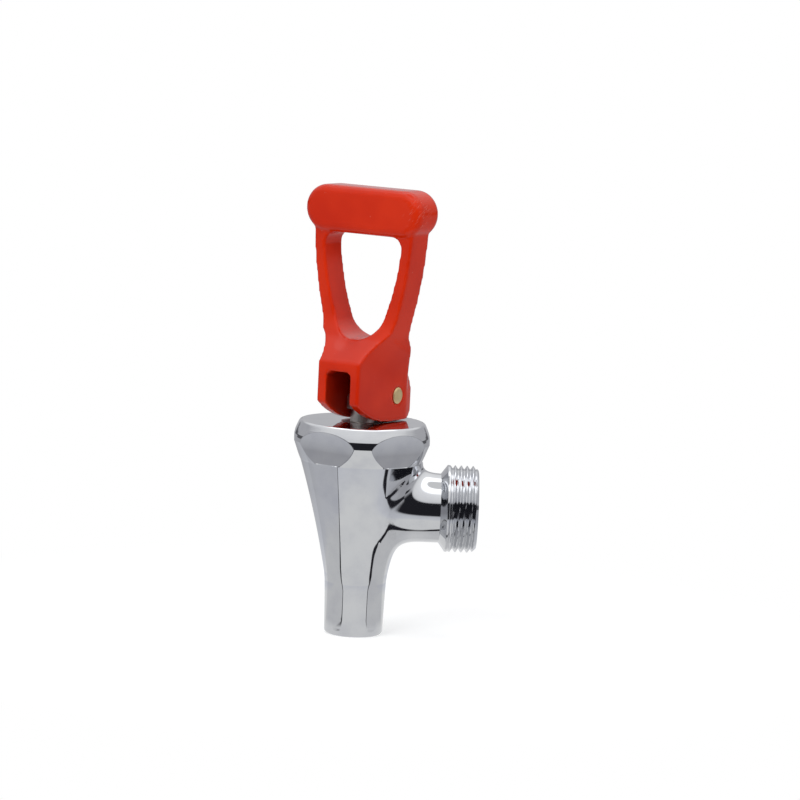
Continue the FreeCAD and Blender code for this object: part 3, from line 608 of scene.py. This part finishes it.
red = moulded_red("red_moulding")
lever = merged("handle", "lever_moulding", red, 0.00042, 12)
places = np.empty(len(lever.data.vertices) * 3, dtype=np.float32)
lever.data.vertices.foreach_get("co", places)
places = places.reshape(-1, 3) * 1000.0
side = places[:, 0] * math.cos(swing) + (places[:, 1] - axis_y) * math.sin(swing)
front = (places[:, 1] - axis_y) * math.cos(swing) - places[:, 0] * math.sin(swing)
sink_side, sink_height, sink_width, sink_rise, sink_depth = -1.5, 24.3, 4.2, 2.6, 0.38
off_sink = ((side - sink_side) / sink_width) ** 2 + ((places[:, 2] - disc_z - sink_height) / sink_rise) ** 2
sunk = np.clip(1.0 - off_sink, 0.0, None) ** 2 * sink_depth * (front < -2.0)
places[:, 0] -= sunk * math.sin(swing)
places[:, 1] += sunk * math.cos(swing)
lever.data.vertices.foreach_set("co", (places / 1000.0).astype(np.float32).ravel())
lever.data.polygons.foreach_set("use_smooth", np.ones(len(lever.data.polygons), dtype=bool))
lever.data.update()
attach(lever, "lever")
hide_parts("handle")


# ---- Turned steel and brass ----------------------------------------------------
# Stem, bush, collar and washers are turned bar, with fine tool rings left in them. The
# hinge pin is a plain turned brass rod.
def turned_metal(name, light, dull, roughness, middle, ring):
    """Turned or drawn metal: fine tool rings round the middle, and a dull patina in patches."""
    finish, coat = finish_of(name)
    spot = coat.vectors("SUBTRACT", coat.value("ShaderNodeTexCoord", output=3), middle)
    rings = coat.value("ShaderNodeTexNoise", {"noise_dimensions": "1D"}, Scale=1.0, Detail=2.0,
                       W=coat.vectors("LENGTH", spot, output=1) * ring)
    patches = coat.value("ShaderNodeTexNoise", Vector=spot, Scale=420.0, Detail=3.0)
    tint = coat.mix(patches.clamped(0.35, 0.7), light, dull)
    relief = coat.value("ShaderNodeBump", Height=rings, Strength=0.15, Distance=0.0002)
    surface = coat.value("ShaderNodeBsdfPrincipled", Base_Color=tint, Metallic=1.0,
                         Roughness=patches.clamped(0.3, 0.8, roughness, roughness + 0.14), Normal=relief)
    coat.node("ShaderNodeOutputMaterial", Surface=surface)
    return finish


def dress(node, finish):
    """Gives a CAD node this finish."""
    item = nodes[node]
    item.data.materials.clear()
    item.data.materials.append(finish)


steel = turned_metal("turned_steel", (0.64, 0.63, 0.61, 1.0), (0.52, 0.51, 0.49, 1.0), 0.34, disc_centre, 9000.0)
for node in ("stem", "guide_bush", "spring_collar", "spring_washer", "seat_washer", "seat_screw"):
    dress(node, steel)
pin_middle = disc_centre + Vector((0.0, 0.0, 0.008))
brass = turned_metal("turned_brass", (0.90, 0.70, 0.38, 1.0), (0.74, 0.56, 0.29, 1.0), 0.38, pin_middle, 9000.0)
dress("hinge_pin", brass)


# ---- Spring and clip ------------------------------------------------------------
# The return spring is drawn and coiled wire, and the clip under its collar is pressed
# from the same stock. Both keep the straw to grey tint of their heat treatment.
wire = turned_metal("tempered_wire", (0.46, 0.45, 0.43, 1.0), (0.30, 0.28, 0.25, 1.0), 0.30, disc_centre, 4000.0)
dress("collar_clip", wire)
coil = merged("return_spring", "return_spring_coil", wire)
crease(coil, 30.0)
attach(coil, "spindle")
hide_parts("return_spring")
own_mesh(coil)


# ---- Seals and gasket -------------------------------------------------------------
# Black moulded rubber rings and the fibre-thin gasket under the bonnet, and the pale
# silicone cup that closes the seat.
def moulded_soft(name, light, dull, roughness):
    """Moulded rubber or silicone: a fine matt grain with a bloom in patches."""
    finish, coat = finish_of(name)
    spot = coat.value("ShaderNodeTexCoord", output=3)
    grain = coat.value("ShaderNodeTexNoise", Vector=spot, Scale=2600.0, Detail=2.0)
    bloom = coat.value("ShaderNodeTexNoise", Vector=spot, Scale=260.0, Detail=2.0)
    relief = coat.value("ShaderNodeBump", Height=grain, Strength=0.25, Distance=0.0002)
    surface = coat.value("ShaderNodeBsdfPrincipled", Base_Color=coat.mix(bloom.clamped(0.35, 0.7), light, dull),
                         Roughness=bloom.clamped(0.3, 0.8, roughness, roughness + 0.15), Normal=relief)
    coat.node("ShaderNodeOutputMaterial", Surface=surface)
    return finish


rubber = moulded_soft("black_rubber", (0.020, 0.020, 0.021, 1.0), (0.045, 0.045, 0.046, 1.0), 0.55)
for node in ("bush_seal", "stem_seal", "bonnet_gasket"):
    dress(node, rubber)
dress("seat_cup", moulded_soft("pale_silicone", (0.66, 0.66, 0.62, 1.0), (0.56, 0.56, 0.52, 1.0), 0.42))
